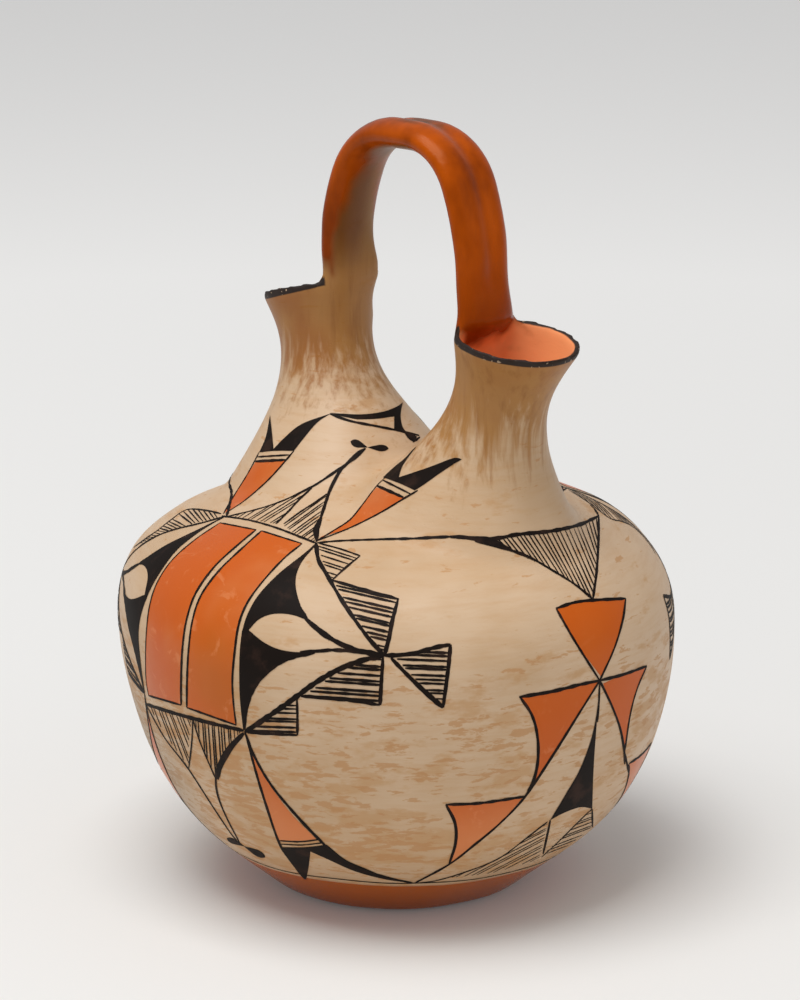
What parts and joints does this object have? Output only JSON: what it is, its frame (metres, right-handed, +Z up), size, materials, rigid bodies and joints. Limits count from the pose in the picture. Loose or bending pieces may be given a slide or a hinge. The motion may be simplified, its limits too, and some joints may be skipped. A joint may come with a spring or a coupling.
{
  "type": "wedding vase",
  "caption": "Round fired-clay pot with two leaning, flared spouts, joined by one strap handle over the top, on a small flat foot.",
  "frame": {"origin": "centre of the foot's flat underside", "axes": "+Z up; both spouts lie along X, the near, lower one towards +X"},
  "size_m": [0.2344, 0.2344, 0.3243],
  "materials": {
    "clay": "burnished slip, painted"
  },
  "bodies": {
    "root": {"wedding_vase": "clay"}
  },
  "joints": []
}
